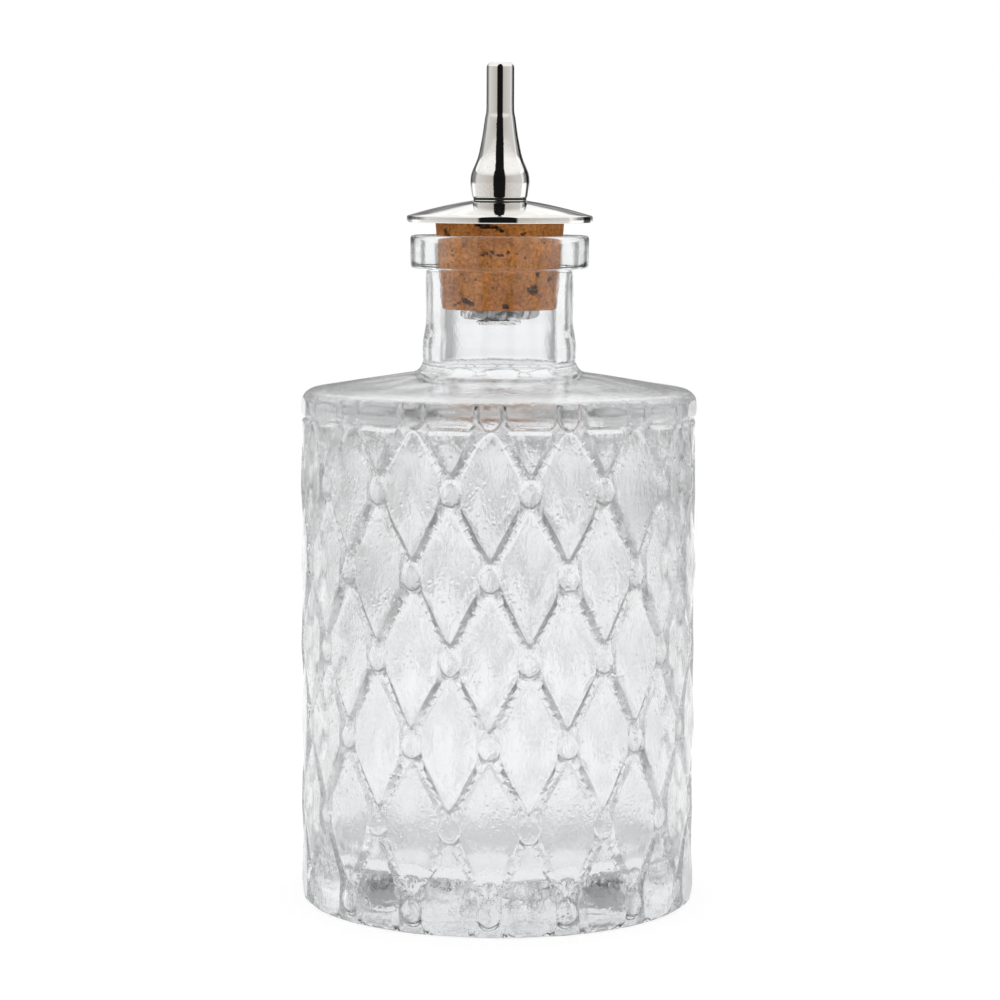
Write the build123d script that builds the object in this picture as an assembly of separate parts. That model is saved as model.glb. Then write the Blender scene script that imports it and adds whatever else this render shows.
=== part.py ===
from build123d import *

import math
import os

# Bitters bottle: a moulded glass bottle with a dasher stopper. Millimetres.
# +Z is up, the origin is the middle of the foot on the table, and the front faces -Y.

# Tools reach this far past what they cut
overrun = 0.6

# Glass bottle, outside. The body's diameter is over the corners of the moulded cells.
body_diameter = 68.0
body_height = 87.75
heel_radius = 1.2
shoulder_rise = 3.35
shoulder_corner_radius = 2.6
neck_root_diameter = 26.5
neck_root_fillet = 2.0
neck_diameter = 25.4
neck_length = 17.45
neck_flare_start_share = 0.26
neck_flare_end_share = 0.44
neck_flare_round = 8.0
collar_diameter = 30.6
collar_length = 5.7
collar_edge_radius = 0.6
collar_root_fillet = 0.5

# Glass bottle, inside
wall_thickness = 4.0
base_thickness = 8.0
shoulder_thickness = 3.5
inner_heel_radius = 6.0
inner_shoulder_radius = 5.0
throat_round = 3.0
mouth_round = 0.4
punt_depth = 1.0
foot_ring_width = 5.0

# Moulded pattern: flat cells and buttons that stand out of the wall, with channels
# between them, in rows that are half a column apart
pattern_columns = 16
pattern_relief = 0.5
pattern_draft = 45.0
cell_rows = 7
cell_row_step = 13.78
cell_lowest_row = 1.85
cell_half_width = 4.6
cell_shoulder_rise = 5.3
cell_apex_rise = 13.2
cell_point_drop = 8.7
cells_top = 82.7
button_width = 3.6
button_height = 4.4
button_drop = 11.75
button_stand = 0.15
button_corner_share = 0.41

# Band of bars and buttons over the cells, under the shoulder
band_gap = 1.0
bar_gap = 0.9

# Cork
cork_length = 14.65
cork_top_diameter = 22.0
cork_bottom_diameter = 19.85
cork_stand = 2.1
cork_edge_round = 0.35
cork_fit = 0.05

# Disc that covers the cork
disc_diameter = 31.7
disc_rim_thickness = 0.85
disc_rim_round = 0.3
disc_rise = 2.15

# Stem, the threaded tube that holds disc, cork and nut together
stem_diameter = 8.0
stem_bore = 4.0
stem_end_length = 1.05
stem_end_chamfer = 0.4
stem_fit = 0.05
stem_head_diameter = 9.4
stem_head_waist = 8.6
stem_head_length = 1.0
spigot_diameter = 6.4
spigot_length = 3.6

# Nut under the cork
nut_flats = 12.0
nut_thickness = 1.7
nut_turn = 22.4
nut_chamfer_angle = 30.0

# Seal between the stem's head and the spout
seal_thickness = 0.3
seal_diameter = 9.0

# Spout
spout_length = 22.9
spout_belly_diameter = 10.0
spout_tip_diameter = 4.7
spout_tip_length = 7.0
spout_tip_round = 0.9
spout_foot_diameter = 9.5
spout_foot_round = 0.3
spout_outlet = 2.0
spout_outlet_depth = 5.0
spigot_fit = 0.05
socket_spare = 0.6
# Places on the spout's outline between the foot and the tip's straight end: height as
# a share of the way up to it, and width between tip (0) and belly (1)
spout_outline_shares = [
    (0.13, 1.0),
    (0.26, 0.95),
    (0.33, 0.79),
    (0.42, 0.57),
    (0.55, 0.38),
    (0.72, 0.20),
    (0.87, 0.07),
]

# Distances and heights worked out from the sizes above
body_radius = body_diameter / 2
cell_face = math.sqrt(body_radius ** 2 - cell_half_width ** 2)
channel_floor = cell_face - pattern_relief
shoulder_top = body_height + shoulder_rise
collar_bottom = shoulder_top + neck_length
mouth_height = collar_bottom + collar_length
cork_top = mouth_height + cork_stand
cork_bottom = cork_top - cork_length
disc_top = cork_top + disc_rim_thickness + disc_rise
nut_bottom = cork_bottom - nut_thickness
stem_bottom = nut_bottom - stem_end_length


def dome_radius():
    """Radius of the sphere that the disc's top is a cap of."""
    half_width = disc_diameter / 2
    return (half_width ** 2 + disc_rise ** 2) / (2 * disc_rise)


def dome_height(radius):
    """Height of the disc's domed top at a distance from the axis."""
    ball = dome_radius()
    return disc_top - ball + math.sqrt(ball ** 2 - radius ** 2)


# The stem's head stands on the dome, then come the seal and the spout
stem_hole_radius = stem_diameter / 2 + stem_fit
head_bottom = dome_height(stem_hole_radius)
head_top = head_bottom + stem_head_length
spout_bottom = head_top + seal_thickness
spout_top = spout_bottom + spout_length
spigot_top = spout_bottom + spigot_length


def turned(corners, closing=None):
    """Revolve a half section about Z.

    Each corner is (distance from the axis, height, rounding). The last side, back to the
    first corner, is straight, or is the curve that closing draws from its two ends.
    """
    points = [(radius, height) for radius, height, rounding in corners]
    with BuildPart() as part:
        with BuildSketch(Plane.XZ) as section:
            with BuildLine():
                Polyline(*points, close=closing is None)
                if closing:
                    closing(points[-1], points[0])
            make_face()
            for radius, height, rounding in corners:
                if rounding:
                    corner = section.vertices().sort_by_distance((radius, height))[0]
                    fillet(corner, rounding)
        revolve(axis=Axis.Z)
    return part.part


def cork_radius(height):
    """Radius of the cork's straight taper at a height."""
    share = (height - cork_bottom) / cork_length
    return (cork_bottom_diameter + share * (cork_top_diameter - cork_bottom_diameter)) / 2


def shoulder_height(radius):
    """Height of the sloping shoulder at a distance from the axis."""
    share = (body_radius - radius) / (body_radius - neck_root_diameter / 2)
    return body_height + share * shoulder_rise


def make_glass():
    """The bottle without its moulded pattern: one wall, from the punt round to the base."""
    foot = body_radius - foot_ring_width
    root = neck_root_diameter / 2
    neck = neck_diameter / 2
    collar = collar_diameter / 2
    flare_start = shoulder_top + neck_flare_start_share * neck_length
    flare_end = shoulder_top + neck_flare_end_share * neck_length
    mouth = cork_radius(mouth_height) + cork_fit
    throat = cork_bottom_diameter / 2 + cork_fit
    cavity = body_radius - wall_thickness
    corners = [
        (foot, 0, 0),
        (body_radius, 0, heel_radius),
        (body_radius, body_height, shoulder_corner_radius),
        (root, shoulder_top, neck_root_fillet),
        (root, flare_start, neck_flare_round),
        (neck, flare_end, neck_flare_round),
        (neck, collar_bottom, collar_root_fillet),
        (collar, collar_bottom, collar_edge_radius),
        (collar, mouth_height, collar_edge_radius),
        (mouth, mouth_height, mouth_round),
        (throat, cork_bottom, 0),
        (throat, shoulder_height(throat) - shoulder_thickness, throat_round),
        (cavity, shoulder_height(cavity) - shoulder_thickness, inner_shoulder_radius),
        (cavity, base_thickness, inner_heel_radius),
        (0, base_thickness, 0),
        (0, punt_depth, 0),
    ]
    punt_radius = (foot ** 2 + punt_depth ** 2) / (2 * punt_depth)
    return turned(corners, lambda start, end: RadiusArc(start, end, punt_radius))


def cell_outline():
    """A cell seen from outside, about the middle of the V that ends it below."""
    return [
        (0, -cell_point_drop),
        (cell_half_width, 0),
        (cell_half_width, cell_shoulder_rise),
        (0, cell_apex_rise),
        (-cell_half_width, cell_shoulder_rise),
        (-cell_half_width, 0),
    ]


def button_outline():
    """A button seen from outside: an oval with eight sides."""
    side = button_width / 2
    top = button_height / 2
    corner = [(side, top * button_corner_share), (side * button_corner_share, top)]
    upper = corner + [(-x, z) for x, z in reversed(corner)]
    return upper + [(-x, -z) for x, z in upper]


def bar_outline():
    """A bar between two buttons of the band, from its lower edge to over the shoulder."""
    column_width = 2 * math.pi * body_radius / pattern_columns
    side = (column_width - button_width) / 2 - bar_gap
    top = body_height - cells_top
    return [(-side, band_gap), (side, band_gap), (side, top), (-side, top)]


def boss(outline, face):
    """Drafted block at the front, from a little under the channels out to a flat face."""
    foot = channel_floor - overrun
    spread = (face - foot) * math.tan(math.radians(pattern_draft))
    drafted = offset(Polygon(*outline, align=None), amount=spread, kind=Kind.INTERSECTION)
    corners = [(x, -face, z) for x, z in outline]
    corners += [(corner.X, -foot, corner.Y) for corner in drafted.vertices()]
    return ConvexPolyhedron(corners)


def round_the_wall(shape, height, first):
    """Copies of a boss at every column, the first one a share of a column from the front."""
    step = 360 / pattern_columns
    return [
        Pos(0, 0, height) * Rot(0, 0, (first + number) * step) * shape
        for number in range(pattern_columns)
    ]


def wall_layer(bottom, top):
    """The layer of the wall that the pattern stands in, outside the channels' flat floors."""
    sides = 2 * pattern_columns
    floor = RegularPolygon(channel_floor, sides, major_radius=False, rotation=180 / sides)
    layer = extrude(Circle(body_radius + overrun) - floor, top - bottom)
    return Pos(0, 0, bottom) * layer


def make_channels():
    """What is missing between the raised shapes: the part with the cells, and the band."""
    cell = boss(cell_outline(), cell_face)
    button = boss(button_outline(), cell_face + button_stand)
    bar = boss(bar_outline(), cell_face)
    raised = []
    for row in range(cell_rows):
        height = cell_lowest_row + row * cell_row_step
        first = 0.5 if row % 2 == 0 else 0
        raised += round_the_wall(cell, height, first)
        if row:
            raised += round_the_wall(button, height - button_drop, first)
    band_middle = (cells_top + band_gap + body_height) / 2
    band = round_the_wall(bar, cells_top, 0.5) + round_the_wall(button, band_middle, 0)
    return wall_layer(0, cells_top).cut(*raised), wall_layer(cells_top, body_height).cut(*band)


def make_bottle():
    """The glass with its moulded pattern."""
    return make_glass().cut(*make_channels())


def make_cork():
    bottom = cork_bottom_diameter / 2
    corners = [
        (stem_hole_radius, cork_bottom, 0),
        (bottom, cork_bottom, cork_edge_round),
        (cork_top_diameter / 2, cork_top, 0),
        (stem_hole_radius, cork_top, 0),
    ]
    return turned(corners)


def make_disc():
    half_width = disc_diameter / 2
    corners = [
        (stem_hole_radius, dome_height(stem_hole_radius), 0),
        (stem_hole_radius, cork_top, 0),
        (half_width, cork_top, disc_rim_round),
        (half_width, cork_top + disc_rim_thickness, disc_rim_round),
    ]
    return turned(corners, lambda start, end: RadiusArc(start, end, -dome_radius()))


def make_stem():
    shaft = stem_diameter / 2
    spigot = spigot_diameter / 2
    corners = [
        (stem_bore / 2, stem_bottom, 0),
        (shaft - stem_end_chamfer, stem_bottom, 0),
        (shaft, stem_bottom + stem_end_chamfer, 0),
        (shaft, head_bottom, 0),
        (stem_head_waist / 2, head_bottom, 0),
        (stem_head_diameter / 2, head_top, 0),
        (spigot, head_top, 0),
        (spigot, spigot_top - stem_end_chamfer, 0),
        (spigot - stem_end_chamfer, spigot_top, 0),
        (stem_bore / 2, spigot_top, 0),
    ]
    return turned(corners)


def make_nut():
    """Hexagon with its lower corners chamfered and a plain hole in place of the thread."""
    flat = nut_flats / 2
    corner = flat / math.cos(math.radians(30))
    drop = (corner - flat) * math.tan(math.radians(nut_chamfer_angle))
    hexagon = extrude(RegularPolygon(corner, 6), nut_thickness)
    section = [
        (stem_hole_radius, 0, 0),
        (flat, 0, 0),
        (corner, drop, 0),
        (corner, nut_thickness, 0),
        (stem_hole_radius, nut_thickness, 0),
    ]
    return Pos(0, 0, nut_bottom) * Rot(0, 0, nut_turn - 90) * (hexagon & turned(section))


def make_seal():
    hole = spigot_diameter / 2 + spigot_fit
    edge = seal_diameter / 2
    corners = [
        (hole, head_top, 0),
        (edge, head_top, 0),
        (edge, spout_bottom, 0),
        (hole, spout_bottom, 0),
    ]
    return turned(corners)


def make_spout():
    foot = spout_foot_diameter / 2
    tip = spout_tip_diameter / 2
    outlet = spout_outlet / 2
    socket = spigot_diameter / 2 + spigot_fit
    tube = stem_bore / 2
    socket_top = spigot_top + socket_spare
    tip_bottom = spout_top - spout_tip_length
    swell = spout_belly_diameter / 2 - tip
    rise = tip_bottom - spout_bottom
    outline = [
        (tip + width * swell, spout_bottom + height * rise)
        for height, width in spout_outline_shares
    ]
    corners = [
        (tip, tip_bottom, 0),
        (tip, spout_top, spout_tip_round),
        (outlet, spout_top, 0),
        (outlet, spout_top - spout_outlet_depth, 0),
        (tube, socket_top + tube, 0),
        (tube, socket_top, 0),
        (socket, socket_top, 0),
        (socket, spout_bottom, 0),
        (foot, spout_bottom, spout_foot_round),
    ]

    def side(start, end):
        Spline(start, *outline, end, tangents=[(foot - tip, rise), (0, 1)])

    return turned(corners, side)


makers = {
    "bottle": make_bottle,
    "cork": make_cork,
    "disc": make_disc,
    "stem": make_stem,
    "nut": make_nut,
    "spout_seal": make_seal,
    "spout": make_spout,
}

os.makedirs("parts", exist_ok=True)
for name, make in makers.items():
    solid = make()
    export_step(solid, f"parts/{name}.step")
    box = solid.bounding_box()
    print(f"{name}: z {box.min.Z:.2f} to {box.max.Z:.2f}, {solid.volume / 1000:.2f} ml")
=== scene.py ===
# %% [markdown]
# # A bitters bottle in glass, cork and polished metal
# The bottle is a moulded glass body with a cork stopper that carries a metal spout. The packed
# solids are the fixed frame: they say where every piece is and how it moves, and this script
# gives each of them its finish. Four pieces are modelled again here, because their look
# depends on small forms that the solids leave out: the glass, whose moulded edges are soft and
# a little uneven, the cork with its pits, the tube with its threads, and the covering disc,
# whose dome is a little higher than in the solid and takes in the tube's head.

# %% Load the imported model
import math

import bmesh
import bpy
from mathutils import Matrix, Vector, geometry, noise


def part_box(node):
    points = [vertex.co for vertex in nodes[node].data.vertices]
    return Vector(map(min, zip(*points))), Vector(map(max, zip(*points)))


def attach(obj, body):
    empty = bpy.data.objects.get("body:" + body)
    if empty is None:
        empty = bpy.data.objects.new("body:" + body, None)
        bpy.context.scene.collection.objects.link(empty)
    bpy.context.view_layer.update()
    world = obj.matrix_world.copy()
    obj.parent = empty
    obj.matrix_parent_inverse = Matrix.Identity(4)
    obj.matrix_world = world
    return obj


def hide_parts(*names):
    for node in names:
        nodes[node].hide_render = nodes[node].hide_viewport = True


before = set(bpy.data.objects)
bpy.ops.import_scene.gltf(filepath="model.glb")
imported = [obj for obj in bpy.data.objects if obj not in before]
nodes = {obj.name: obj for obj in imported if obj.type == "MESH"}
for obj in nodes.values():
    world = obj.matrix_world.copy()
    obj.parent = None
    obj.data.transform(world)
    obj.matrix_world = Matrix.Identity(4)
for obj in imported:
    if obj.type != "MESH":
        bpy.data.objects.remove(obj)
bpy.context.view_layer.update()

mm = 0.001
print("nodes:", ", ".join(sorted(nodes)))

# %% [markdown]
# ## Camera
# The camera stands where the photograph was taken from. Its distance, height and angle were
# worked out from the round edges of foot, shoulder and collar, which a camera sees as ellipses.

# %% Camera
sight_distance = 528.8 * mm
sight_height = 123.3 * mm
sight_turn = math.radians(2.4)
sight_pitch = math.radians(5.885)
sight_roll = math.radians(-0.23)
sight_angle = math.radians(18.39)

camera_data = bpy.data.cameras.new("camera")
camera = bpy.data.objects.new("camera", camera_data)
bpy.context.collection.objects.link(camera)
camera.location = (
    sight_distance * math.sin(sight_turn),
    -sight_distance * math.cos(sight_turn),
    sight_height,
)
camera.rotation_euler = (math.pi / 2 - sight_pitch, sight_roll, sight_turn)
camera_data.sensor_width = 36
camera_data.angle = sight_angle
camera_data.clip_start = 10 * mm
bpy.context.scene.camera = camera
print("camera at", [round(value, 3) for value in camera.location])

# %% [markdown]
# ## Studio
# Clear glass and polished metal have hardly any colour of their own: they show the room. So the
# room is drawn with care. The background is white to the camera. Light that has come through
# the glass sees a white backdrop that ends at eye level, and a dark gap above it. The lower
# slope of each moulded cell bends the line of sight up into that gap, which is why these edges
# look dark and the upper ones hardly show. What the surfaces mirror is a studio with warm grey
# walls, white cards and one black card round the camera, which puts the dark streak down the
# spout. Matt surfaces get plain even light.


# %% Small helpers for shader nodes
def add_node(tree, kind, inputs=(), **settings):
    """Add a shader node, with its settings and its inputs: links or plain values."""
    node = tree.nodes.new(kind)
    for key, value in settings.items():
        setattr(node, key, value)
    for key, value in dict(inputs).items():
        if isinstance(value, bpy.types.NodeSocket):
            tree.links.new(value, node.inputs[key])
        else:
            node.inputs[key].default_value = value
    return node


def math_node(tree, operation, *values):
    """One step of arithmetic on links and numbers."""
    return add_node(tree, "ShaderNodeMath", enumerate(values), operation=operation).outputs[0]


def ramp_node(tree, factor, stops):
    """A ramp through (place, grey or colour) stops."""
    ramp = add_node(tree, "ShaderNodeValToRGB", {"Fac": factor})
    elements = ramp.color_ramp.elements
    while len(elements) > 1:
        elements.remove(elements[-1])
    for number, (place, value) in enumerate(stops):
        element = elements[0] if number == 0 else elements.new(place)
        element.position = place
        colour = value if isinstance(value, tuple) else (value,) * 3
        element.color = (*colour, 1)
    return ramp.outputs["Color"]


def mix_node(tree, factor, first, second, blend="MIX"):
    """Two colours mixed by a share."""
    mix = add_node(
        tree, "ShaderNodeMix", {"Factor": factor, "A": first, "B": second}, data_type="RGBA",
        blend_type=blend)
    return mix.outputs["Result"]


def times(tree, first, second):
    """Two colours multiplied."""
    return mix_node(tree, 1.0, first, second, "MULTIPLY")


def noise_node(tree, place, scale, detail, **more):
    """Smooth noise from 0 to 1."""
    inputs = {"Vector": place, "Scale": scale, "Detail": detail, **more}
    return add_node(tree, "ShaderNodeTexNoise", inputs).outputs["Fac"]


def spot_node(tree, place, scale):
    """Distance from the nearest of many scattered points."""
    inputs = {"Vector": place, "Scale": scale}
    return add_node(tree, "ShaderNodeTexVoronoi", inputs).outputs["Distance"]


def range_node(tree, value, low, high, new_low, new_high):
    """A value from one range as a value in another."""
    return add_node(tree, "ShaderNodeMapRange", {
        "Value": value, "From Min": low, "From Max": high, "To Min": new_low,
        "To Max": new_high}).outputs[0]


def own_place(tree):
    """Where a point of the surface is in its object, in metres."""
    return add_node(tree, "ShaderNodeTexCoord").outputs["Object"]


def set_bump(tree, shader, height, distance, strength=1.0):
    """Tilt a surface as if it had this height, where 1 is a distance in metres."""
    bump = add_node(tree, "ShaderNodeBump", {
        "Height": height, "Distance": distance, "Strength": strength})
    tree.links.new(bump.outputs[0], shader.inputs["Normal"])


# %% Studio
def direction_angles(tree):
    """Turn about the object, 0 to 1 with 0.5 at the front, and rise, 0 below to 1 above."""
    coord = add_node(tree, "ShaderNodeTexCoord")
    split = add_node(tree, "ShaderNodeSeparateXYZ", {0: coord.outputs["Generated"]})
    behind = math_node(tree, "MULTIPLY", split.outputs["Y"], -1)
    turn = math_node(tree, "ARCTAN2", split.outputs["X"], behind)
    turn_share = math_node(tree, "MULTIPLY_ADD", turn, 0.5 / math.pi, 0.5)
    rise = math_node(tree, "ARCSINE", split.outputs["Z"])
    rise_share = math_node(tree, "MULTIPLY_ADD", rise, 1 / math.pi, 0.5)
    return turn_share, rise_share


def make_studio():
    world = bpy.data.worlds.new("studio")
    world.use_nodes = True
    tree = world.node_tree
    tree.nodes.clear()
    turn, rise = direction_angles(tree)

    # what metal and glass mirror, by turn from the back round by the left: a white backdrop
    # behind, thin flags at its sides, warm grey walls, and a black card round the camera
    warm = (0.61, 0.595, 0.565)
    walls = ramp_node(tree, turn, [
        (0.000, 1.0), (0.055, 1.0), (0.070, 0.40), (0.105, 0.45), (0.130, 1.0), (0.165, 1.0),
        (0.190, 0.74), (0.330, warm), (0.430, (0.52, 0.49, 0.46)), (0.436, 0.008),
        (0.564, 0.008), (0.570, (0.52, 0.49, 0.46)), (0.670, warm), (0.770, 0.66),
        (0.780, 1.0), (0.855, 1.0), (0.865, 0.06), (0.925, 0.10), (0.940, 1.0), (1.000, 1.0),
    ])
    # the walls are lit from the ceiling, so they get paler higher up, and the card doesn't
    lit = ramp_node(tree, rise, [(0.00, 0.0), (0.59, 0.0), (0.68, 1.0), (1.00, 1.0)])
    card = ramp_node(tree, turn, [(0.0, 1.0), (0.432, 1.0), (0.436, 0.0), (0.564, 0.0),
                                  (0.568, 1.0), (1.0, 1.0)])
    walls = mix_node(tree, times(tree, lit, card), walls, (0.88, 0.875, 0.86, 1))
    back = ramp_node(tree, turn, [
        (0.00, 0.0), (0.16, 0.0), (0.22, 1.0), (0.78, 1.0), (0.84, 0.0), (1.00, 0.0),
    ])
    gap = ramp_node(tree, rise, [
        (0.000, 1.0), (0.488, 1.0), (0.498, 0.08), (0.595, 0.14), (0.615, 1.0), (1.000, 1.0),
    ])
    direction = add_node(tree, "ShaderNodeTexCoord").outputs["Generated"]
    marbling = noise_node(tree, direction, 30.0, 3.0)
    gap = mix_node(tree, 1.0, gap, ramp_node(tree, marbling, [(0.4, 0.0), (0.75, 0.45)]), "ADD")
    mirrored = times(tree, walls, mix_node(tree, 1.0, gap, back, "LIGHTEN"))
    # what shows through the glass: a white backdrop all round, a dark gap over its edge, eight
    # grey stands round the table, and the clutter of a room above and below
    over = ramp_node(tree, rise, [
        (0.000, 1.20), (0.350, 1.20), (0.400, 1.00), (0.460, 1.00), (0.470, 0.94),
        (0.494, 0.96), (0.500, 0.09), (0.537, 0.09), (0.551, 1.0),
        (0.660, 1.0), (0.690, 0.45), (0.760, 0.45), (0.800, 1.0), (1.000, 1.0),
    ])
    eighth = math_node(tree, "FRACT", math_node(tree, "MULTIPLY", turn, 8))
    stands = ramp_node(tree, eighth, [
        (0.00, 1.0), (0.26, 1.0), (0.40, 0.38), (0.60, 0.38), (0.74, 1.0), (1.00, 1.0),
    ])
    patches = noise_node(tree, direction, 6.0, 3.0)
    clutter = ramp_node(tree, patches, [(0.36, 0.30), (0.45, 1.0), (0.60, 1.45)])
    high = ramp_node(tree, rise, [
        (0.00, 1.0), (0.36, 1.0), (0.40, 0.0), (0.575, 0.0), (0.600, 1.0), (1.00, 1.0),
    ])
    through = times(tree, over, stands)
    through = mix_node(tree, high, through, times(tree, through, clutter))
    path = add_node(tree, "ShaderNodeLightPath")
    plain = mix_node(tree, path.outputs["Is Diffuse Ray"], mirrored, (0.95, 0.95, 0.95, 1))
    white, room, beyond = (
        add_node(tree, "ShaderNodeBackground", {"Color": colour}).outputs[0]
        for colour in ((1, 1, 1, 1), plain, through))
    inner = add_node(tree, "ShaderNodeMixShader", {
        0: path.outputs["Is Transmission Ray"], 1: room, 2: beyond})
    outer = add_node(tree, "ShaderNodeMixShader", {
        0: path.outputs["Is Camera Ray"], 1: inner.outputs[0], 2: white})
    add_node(tree, "ShaderNodeOutputWorld", {"Surface": outer.outputs[0]})
    return world


bpy.context.scene.world = make_studio()

# %% [markdown]
# ## Floor
# The floor keeps the object's soft shadow and is otherwise as white as the background. Where no
# shadow falls its own colour and a little glow add up to white.


# %% Floor
floor_radius = 350 * mm
floor_grey = 0.35
floor_glow = 0.715


def make_floor():
    bpy.ops.object.select_all(action="DESELECT")
    bpy.ops.mesh.primitive_circle_add(
        vertices=96, radius=floor_radius, fill_type="NGON", location=(0, 0, 0))
    floor = bpy.context.object
    floor.name = "floor"
    material = bpy.data.materials.new("pale floor")
    material.use_nodes = True
    tree = material.node_tree
    tree.nodes.clear()
    plain = add_node(tree, "ShaderNodeBsdfDiffuse", {"Color": (*[floor_grey] * 3, 1)})
    glow = add_node(tree, "ShaderNodeEmission", {"Color": (1, 1, 1, 1), "Strength": floor_glow})
    both = add_node(tree, "ShaderNodeAddShader", {0: plain.outputs[0], 1: glow.outputs[0]})
    add_node(tree, "ShaderNodeOutputMaterial", {"Surface": both.outputs[0]})
    floor.data.materials.append(material)
    return floor


floor = make_floor()

# %% [markdown]
# ## The glass
# The bottle is blown into a mould whose pattern was cut by hand: flat cells with a point at
# each end, small ovals in the diamonds between them, and a band of bars under the shoulder.
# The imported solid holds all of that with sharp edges. Glass never fills a mould's corners, so
# here the same pattern is drawn again with rounded edges, with wider slopes under each cell
# and with the small nicks that the cutter left along them. A grid that is displaced would need
# millions of faces to keep such edges straight. Instead, half a column is drawn flat, with
# edges just where the shapes have theirs. It is wrapped round the wall, mirrored and copied.

# %% Sizes of the moulded pattern
# Sizes are in millimetres, up to the point where a mesh is made
columns = 16
body_radius = 34.0
cell_half_width = 4.6
cell_face = math.sqrt(body_radius ** 2 - cell_half_width ** 2)
pattern_height = 0.7
channel_floor = cell_face - pattern_height
tile_width = cell_face * math.pi / columns
row_step = 13.78
lowest_row = 1.85
row_count = 7
cells_top = 82.7
tile_bottom = 0.04
tile_top = 87.5
# a slope is rounded over this share of its width at its edge and at its foot
rounding_share = 0.16
point_slope = 0.9
side_slope = 0.4

# profile that the pattern runs out into: the heel below and the shoulder's corner above
heel_radius = 1.2
corner_radius = 2.6
corner_middle = 85.536
print(f"half a column is {tile_width:.2f} mm wide and {tile_top - tile_bottom:.2f} mm tall")


# %% One raised shape: its sides and how far a point is down its slopes
def part_way(start, end, share):
    """The point that is this share of the way from one point to another."""
    return tuple(a + (b - a) * share for a, b in zip(start, end))


def outward(start, end):
    """Direction straight out of a side, and the side's length."""
    (x0, z0), (x1, z1) = start, end
    length = math.hypot(x1 - x0, z1 - z0)
    return (z1 - z0) / length, (x0 - x1) / length, length


class Raised:
    """Half of a raised shape: corners from its lower to its upper end, out from the middle."""

    def __init__(self, corners, slopes, height, between):
        self.corners = corners
        self.slopes = slopes
        self.height = height
        self.between = between
        self.sides = []
        for start, end, slope in zip(corners, corners[1:], slopes):
            across, up, _ = outward(start, end)
            self.sides.append((across, up, across * start[0] + up * start[1], slope))

    def place(self, x, z):
        """A point about this shape's middle as a point of the tile, or the other way round."""
        return (tile_width - x if self.between else x), z

    def local(self, x, z):
        x, z = self.place(x, z)
        return x, z - self.height

    def fall(self, x, z):
        """0 on the shape's edge, 1 on the floor, and less than 0 on its face."""
        x, z = self.local(x, z)
        return max((a * x + u * z - reach) / slope for a, u, reach, slope in self.sides)

    def ring(self, share):
        """The outline, this share of the way down the slopes, as points of the tile."""
        moved = [(a, u, reach + share * slope) for a, u, reach, slope in self.sides]
        points = [(0, moved[0][2] / moved[0][1])]
        for (a0, u0, r0), (a1, u1, r1) in zip(moved, moved[1:]):
            turn = a0 * u1 - a1 * u0
            points.append(((r0 * u1 - r1 * u0) / turn, (a0 * r1 - a1 * r0) / turn))
        points.append((0, moved[-1][2] / moved[-1][1]))
        return [self.place(x, z + self.height) for x, z in points]


cut_chamfer = 0.5
cut_share = 0.93


def cut_at(corners, top):
    """The corners below a level, closed with a small chamfer and a flat top."""
    kept = []
    for (x0, z0), (x1, z1) in zip(corners, corners[1:]):
        kept.append((x0, z0))
        if z1 > top:
            x = x0 + (x1 - x0) * (top - z0) / (z1 - z0)
            chamfer = min(cut_chamfer, x / 2)
            last = part_way((x0, z0), (x, top), cut_share)
            return kept + [last, (x - chamfer, top), (0, top)]
    return corners


# %% The shapes of the pattern
cell_corners = [
    (0, -8.4), (0.42, -7.9), (4.3, -0.57), (4.6, 0.5), (4.6, 4.9), (4.3, 5.82),
    (0.4, 12.52), (0, 12.75),
]
cell_slopes = [point_slope] * 2 + [0.7] + [side_slope] * 4
top_slope = 0.6
bar_corners = [(0, 0), (3.1, 0), (3.75, 0.5), (4.0, 1.3), (4.0, 4.7), (0, 4.7)]
bar_slopes = [0.5] * 3 + [0.4] * 2
bar_rise = 1.0
oval_height = 2.2
oval_half_width = 1.8
oval_drop = 11.75
oval_slope = 0.45
# an oval's dome stands this far over the flat faces, and falls by this much to its edge
oval_rise = 0.16
oval_fall = 0.22
band_oval_middle = 85.73

cells = []
ovals = []
for row in range(row_count):
    middle = lowest_row + row * row_step
    between = row % 2 == 0
    corners = cut_at(cell_corners, cells_top - middle)
    slopes = (cell_slopes + [side_slope])[:len(corners) - 2] + [top_slope]
    cells.append(Raised(corners, slopes, middle, between))
    if row:
        ovals.append((middle - oval_drop, between))
ovals.append((band_oval_middle, False))
bar = Raised(bar_corners, bar_slopes, cells_top + bar_rise, True)
print(len(cells), "half cells and", len(ovals), "half ovals in the tile")


# %% Height of the wall at a point of the tile
def eased(share):
    """A slope from 0 to 1 with both of its ends rounded."""
    r = rounding_share
    if share <= -r:
        return 0
    if share < r:
        return (share + r) ** 2 / (4 * r)
    if share < 1 - r:
        return share
    if share < 1 + r:
        return 1 - (1 + r - share) ** 2 / (4 * r)
    return 1


def profile_radius(z):
    """The bottle's outline at a height, without the pattern."""
    if z < heel_radius:
        return body_radius - heel_radius + math.sqrt(heel_radius ** 2 - (heel_radius - z) ** 2)
    if z > corner_middle:
        rise = z - corner_middle
        return body_radius - corner_radius + math.sqrt(corner_radius ** 2 - rise ** 2)
    return body_radius


def flat_face(x):
    """Distance from the axis of a flat face, x away from its middle."""
    return cell_face / math.cos(x / cell_face)


# a cell's face has a shallow crease across it, over which it leans back a little
crease_foot = 0.6
crease_top = 7.8
crease_lean = 0.045


def cell_radius(x, z):
    length = math.hypot(cell_half_width, crease_top - crease_foot)
    over = (x * (crease_top - crease_foot) + (z - crease_top) * cell_half_width) / length
    return flat_face(x) - crease_lean * max(0, over)


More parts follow.
